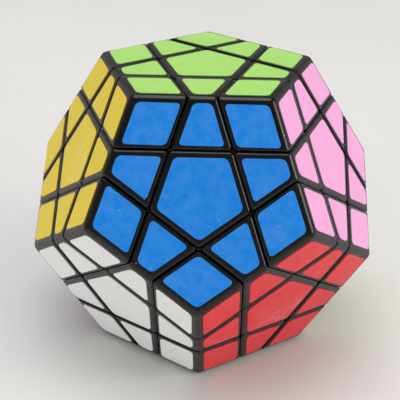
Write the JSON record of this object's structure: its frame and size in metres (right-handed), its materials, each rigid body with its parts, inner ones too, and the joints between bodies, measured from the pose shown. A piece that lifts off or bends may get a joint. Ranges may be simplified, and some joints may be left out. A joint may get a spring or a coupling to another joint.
{
  "type": "dodecahedron twisty puzzle",
  "caption": "Twelve-faced twisty puzzle: sprung centres, edges and corners on a core, with layers that turn about the face axes.",
  "frame": {"origin": "middle of the puzzle, where the twelve turning axes meet", "axes": "+Z out of the lime face on top, -Z out of the dark green face that it rests on; the blue face is above -Y and the sky blue face below +Y; +X is to the right of someone who looks at the blue face"},
  "size_m": [0.0872, 0.0918, 0.0746],
  "materials": {
    "black_plastic": "moulded black ABS, satin to glossy, worn smooth along its rounded edges",
    "core_plastic": "moulded black plastic, matt",
    "sticker_lime": "thin vinyl sticker, satin, with fine scratches",
    "sticker_blue": "thin vinyl sticker, satin, with fine scratches",
    "sticker_pink": "thin vinyl sticker, satin, with fine scratches",
    "sticker_grey": "thin vinyl sticker, satin, with fine scratches",
    "sticker_orange": "thin vinyl sticker, satin, with fine scratches",
    "sticker_yellow": "thin vinyl sticker, satin, with fine scratches",
    "sticker_green": "thin vinyl sticker, satin, with fine scratches",
    "sticker_sky": "thin vinyl sticker, satin, with fine scratches",
    "sticker_purple": "thin vinyl sticker, satin, with fine scratches",
    "sticker_white": "thin vinyl sticker, satin, with fine scratches",
    "sticker_red": "thin vinyl sticker, satin, with fine scratches",
    "sticker_cream": "thin vinyl sticker, satin, with fine scratches",
    "screw_steel": "zinc-plated pan-head screw",
    "spring_steel": "drawn spring wire, oiled"
  },
  "bodies": {
    "core": {"core_with_screws": "core_plastic", "corner_blue_yellow_white": "black_plastic", "corner_green_sky_cream": "black_plastic", "corner_grey_orange_sky": "black_plastic", "corner_pink_grey_cream": "black_plastic", "edge_blue_pink": "black_plastic", "edge_blue_white": "black_plastic", "edge_blue_yellow": "black_plastic", "edge_green_cream": "black_plastic", "edge_green_sky": "black_plastic", "edge_green_white": "black_plastic", "edge_grey_orange": "black_plastic", "edge_orange_sky": "black_plastic", "edge_orange_yellow": "black_plastic", "edge_pink_cream": "black_plastic", "edge_pink_grey": "black_plastic", "edge_yellow_white": "black_plastic", "joined_block_grey_sky_cream": "black_plastic"},
    "top_layer": {"corner_lime_blue_pink": "black_plastic", "corner_lime_blue_yellow": "black_plastic", "corner_lime_grey_orange": "black_plastic", "corner_lime_orange_yellow": "black_plastic", "corner_lime_pink_grey": "black_plastic", "edge_lime_blue": "black_plastic", "edge_lime_grey": "black_plastic", "edge_lime_orange": "black_plastic", "edge_lime_pink": "black_plastic", "edge_lime_yellow": "black_plastic"},
    "front_right_layer": {"corner_blue_pink_red": "black_plastic", "corner_blue_white_red": "black_plastic", "corner_green_red_cream": "black_plastic", "corner_green_white_red": "black_plastic", "corner_pink_red_cream": "black_plastic", "edge_blue_red": "black_plastic", "edge_green_red": "black_plastic", "edge_pink_red": "black_plastic", "edge_red_cream": "black_plastic", "edge_white_red": "black_plastic"},
    "back_left_layer": {"corner_green_purple_white": "black_plastic", "corner_green_sky_purple": "black_plastic", "corner_orange_sky_purple": "black_plastic", "corner_orange_yellow_purple": "black_plastic", "corner_yellow_purple_white": "black_plastic", "edge_green_purple": "black_plastic", "edge_orange_purple": "black_plastic", "edge_purple_white": "black_plastic", "edge_sky_purple": "black_plastic", "edge_yellow_purple": "black_plastic"},
    "sprung_centre_lime": {"centre_lime": "black_plastic"},
    "sprung_centre_blue": {"centre_blue": "black_plastic"},
    "sprung_centre_pink": {"centre_pink": "black_plastic"},
    "sprung_centre_grey": {"centre_grey": "black_plastic"},
    "sprung_centre_orange": {"centre_orange": "black_plastic"},
    "sprung_centre_yellow": {"centre_yellow": "black_plastic"},
    "sprung_centre_green": {"centre_green": "black_plastic"},
    "sprung_centre_sky": {"centre_sky": "black_plastic"},
    "sprung_centre_purple": {"centre_purple": "black_plastic"},
    "sprung_centre_white": {"centre_white": "black_plastic"},
    "sprung_centre_red": {"centre_red": "black_plastic"},
    "sprung_centre_cream": {"centre_cream": "black_plastic"}
  },
  "joints": [
    {"name": "layer_turn_top", "type": "hinge", "parent": "core", "child": "top_layer", "pos_m": [0, 0, 0], "axis": [0, 0, 1], "continuous": true},
    {"name": "layer_turn_front_right", "type": "hinge", "parent": "core", "child": "front_right_layer", "pos_m": [0, 0, 0], "axis": [0.5257, -0.7236, -0.4472], "continuous": true},
    {"name": "layer_turn_back_left", "type": "hinge", "parent": "core", "child": "back_left_layer", "pos_m": [0, 0, 0], "axis": [-0.8507, 0.2764, -0.4472], "continuous": true},
    {"name": "spring_lift_lime", "type": "slide", "parent": "top_layer", "child": "sprung_centre_lime", "axis": [0, 0, 1], "range_m": [0, 0.0006], "stiffness_N_per_m": 600, "springref_m": -0.002},
    {"name": "spring_lift_blue", "type": "slide", "parent": "core", "child": "sprung_centre_blue", "axis": [0, -0.8944, 0.4472], "range_m": [0, 0.0006], "stiffness_N_per_m": 600, "springref_m": -0.002},
    {"name": "spring_lift_pink", "type": "slide", "parent": "core", "child": "sprung_centre_pink", "axis": [0.8507, -0.2764, 0.4472], "range_m": [0, 0.0006], "stiffness_N_per_m": 600, "springref_m": -0.002},
    {"name": "spring_lift_grey", "type": "slide", "parent": "core", "child": "sprung_centre_grey", "axis": [0.5257, 0.7236, 0.4472], "range_m": [0, 0.0006], "stiffness_N_per_m": 600, "springref_m": -0.002},
    {"name": "spring_lift_orange", "type": "slide", "parent": "core", "child": "sprung_centre_orange", "axis": [-0.5257, 0.7236, 0.4472], "range_m": [0, 0.0006], "stiffness_N_per_m": 600, "springref_m": -0.002},
    {"name": "spring_lift_yellow", "type": "slide", "parent": "core", "child": "sprung_centre_yellow", "axis": [-0.8507, -0.2764, 0.4472], "range_m": [0, 0.0006], "stiffness_N_per_m": 600, "springref_m": -0.002},
    {"name": "spring_lift_green", "type": "slide", "parent": "core", "child": "sprung_centre_green", "axis": [0, 0, -1], "range_m": [0, 0.0006], "stiffness_N_per_m": 600, "springref_m": -0.002},
    {"name": "spring_lift_sky", "type": "slide", "parent": "core", "child": "sprung_centre_sky", "axis": [0, 0.8944, -0.4472], "range_m": [0, 0.0006], "stiffness_N_per_m": 600, "springref_m": -0.002},
    {"name": "spring_lift_purple", "type": "slide", "parent": "back_left_layer", "child": "sprung_centre_purple", "axis": [-0.8507, 0.2764, -0.4472], "range_m": [0, 0.0006], "stiffness_N_per_m": 600, "springref_m": -0.002},
    {"name": "spring_lift_white", "type": "slide", "parent": "core", "child": "sprung_centre_white", "axis": [-0.5257, -0.7236, -0.4472], "range_m": [0, 0.0006], "stiffness_N_per_m": 600, "springref_m": -0.002},
    {"name": "spring_lift_red", "type": "slide", "parent": "front_right_layer", "child": "sprung_centre_red", "axis": [0.5257, -0.7236, -0.4472], "range_m": [0, 0.0006], "stiffness_N_per_m": 600, "springref_m": -0.002},
    {"name": "spring_lift_cream", "type": "slide", "parent": "core", "child": "sprung_centre_cream", "axis": [0.8507, 0.2764, -0.4472], "range_m": [0, 0.0006], "stiffness_N_per_m": 600, "springref_m": -0.002}
  ]
}
